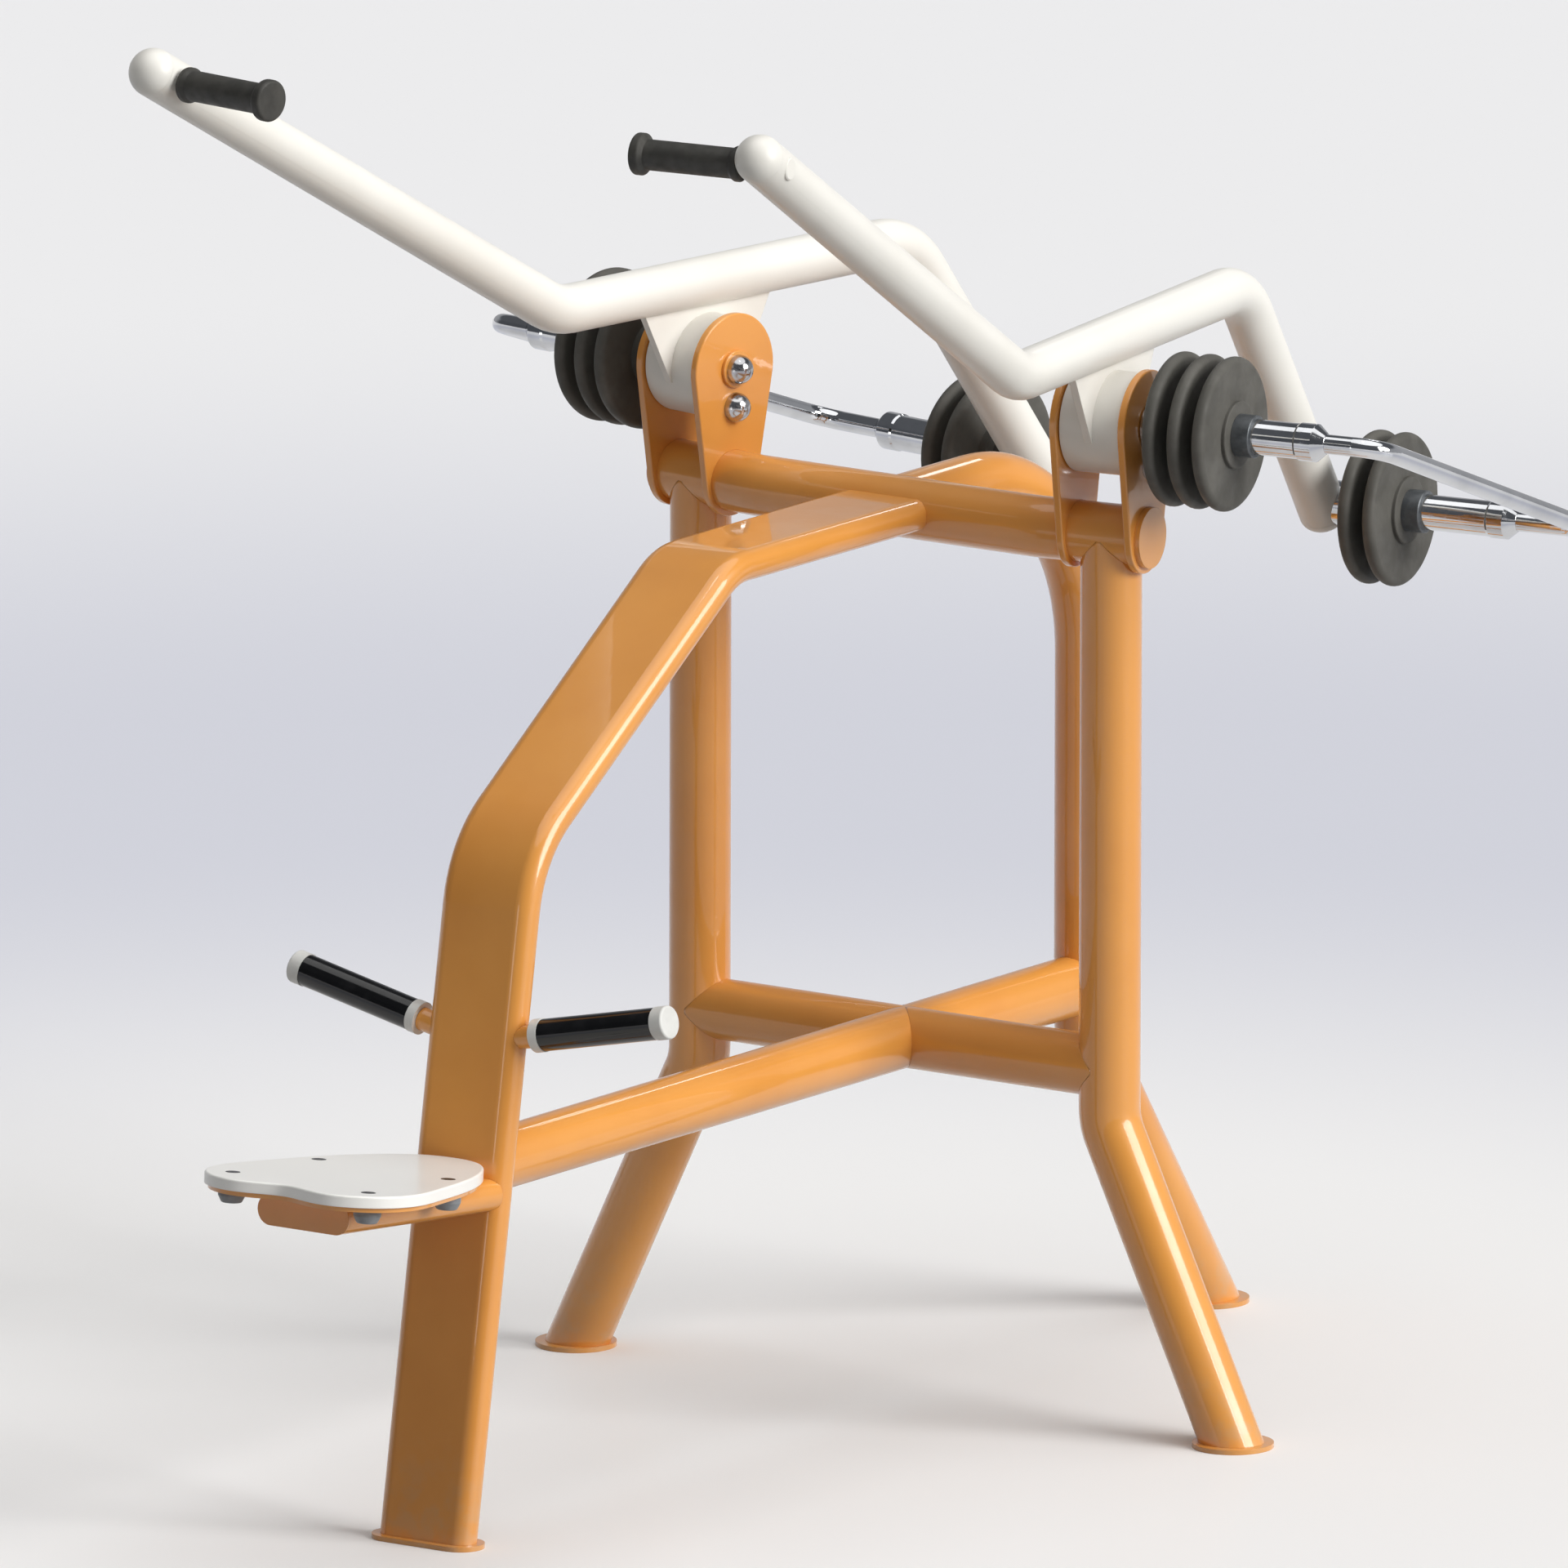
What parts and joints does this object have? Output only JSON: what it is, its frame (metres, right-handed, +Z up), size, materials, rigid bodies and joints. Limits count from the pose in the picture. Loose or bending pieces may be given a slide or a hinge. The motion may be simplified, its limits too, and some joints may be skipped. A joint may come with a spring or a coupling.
{
  "type": "outdoor lat pulldown machine",
  "caption": "Free-standing outdoor lat pulldown machine: bent tube frame, small seat with thigh rollers, and toed-out handle arms balanced by fixed weight plates on bent bars.",
  "frame": {"origin": "on the ground, at the middle of the machine's overall width and depth", "axes": "+Z up, -Y towards the front where the user sits, +X to the viewer's right when looking at the machine from the front"},
  "size_m": [1.3488, 2.0423, 1.7965],
  "materials": {
    "frame_paint": "glossy orange paint",
    "arm_paint": "satin off-white powder coat",
    "polished_steel": "polished steel",
    "chrome_steel": "chrome plate",
    "ring_steel": "dark matt steel",
    "zinc_steel": "zinc-plated steel",
    "bronze": "sintered bronze",
    "plate_iron": "dark coated cast iron, matt",
    "grip_rubber": "matt dark rubber",
    "roller_rubber": "smooth glossy black rubber",
    "collar_polymer": "moulded white plastic",
    "seat_polymer": "white plastic sheet, semi-gloss",
    "grey_polymer": "moulded grey plastic"
  },
  "bodies": {
    "frame": {"cross_tube": "frame_paint", "cross_tube_caps": "frame_paint", "front_arch": "frame_paint", "front_foot": "frame_paint", "left_post": "frame_paint", "right_post": "frame_paint", "rear_post": "frame_paint", "round_feet": "frame_paint", "long_brace": "frame_paint", "side_braces": "frame_paint", "inner_ears": "frame_paint", "outer_ears": "frame_paint", "pivot_bosses": "frame_paint", "pivot_axles": "polished_steel", "stop_bolts": "polished_steel", "dome_nuts": "polished_steel", "seat_arm": "frame_paint", "seat_arm_cap": "frame_paint", "seat_plate": "frame_paint", "seat": "seat_polymer", "seat_screws": "zinc_steel", "seat_nut_caps": "grey_polymer", "roller_axles": "frame_paint", "roller_end_bolts": "zinc_steel"},
    "arm_left": {"left_arm_tube": "arm_paint", "left_arm_front_cap": "arm_paint", "left_arm_rear_cap": "arm_paint", "left_hub": "arm_paint", "left_hub_discs": "arm_paint", "left_hub_bearings": "polished_steel", "left_gusset": "arm_paint", "left_grip_rod": "arm_paint", "left_grip": "grip_rubber", "left_weight_bar": "chrome_steel", "left_pivot_sleeve": "chrome_steel", "left_rear_sleeve": "chrome_steel", "left_sleeve_bush": "bronze", "left_retaining_rings": "ring_steel", "left_weight_plates": "plate_iron"},
    "roller_left": {"left_roller_collar": "collar_polymer", "left_roller_sleeve": "roller_rubber", "left_roller_cap": "collar_polymer"},
    "arm_right": {"right_arm_tube": "arm_paint", "right_arm_front_cap": "arm_paint", "right_arm_rear_cap": "arm_paint", "right_hub": "arm_paint", "right_hub_discs": "arm_paint", "right_hub_bearings": "polished_steel", "right_gusset": "arm_paint", "right_grip_rod": "arm_paint", "right_grip": "grip_rubber", "right_weight_bar": "chrome_steel", "right_pivot_sleeve": "chrome_steel", "right_rear_sleeve": "chrome_steel", "right_sleeve_bush": "bronze", "right_retaining_rings": "ring_steel", "right_weight_plates": "plate_iron"},
    "roller_right": {"right_roller_collar": "collar_polymer", "right_roller_sleeve": "roller_rubber", "right_roller_cap": "collar_polymer"}
  },
  "joints": [
    {"name": "right_arm_pivot", "type": "hinge", "parent": "frame", "child": "arm_right", "pos_m": [0.3044, 0.3131, 1.2608], "axis": [0.9885, 0.1514, 0], "range_deg": [0, 45]},
    {"name": "left_arm_pivot", "type": "hinge", "parent": "frame", "child": "arm_left", "pos_m": [-0.3044, 0.3131, 1.2608], "axis": [0.9885, -0.1514, 0], "range_deg": [0, 45]},
    {"name": "right_roller_spin", "type": "hinge", "parent": "frame", "child": "roller_right", "pos_m": [0, -0.59725, 0.6062], "axis": [0.9785, 0.0348, 0.2032], "continuous": true},
    {"name": "left_roller_spin", "type": "hinge", "parent": "frame", "child": "roller_left", "pos_m": [0, -0.59725, 0.6062], "axis": [-0.9785, 0.0348, 0.2032], "continuous": true}
  ]
}
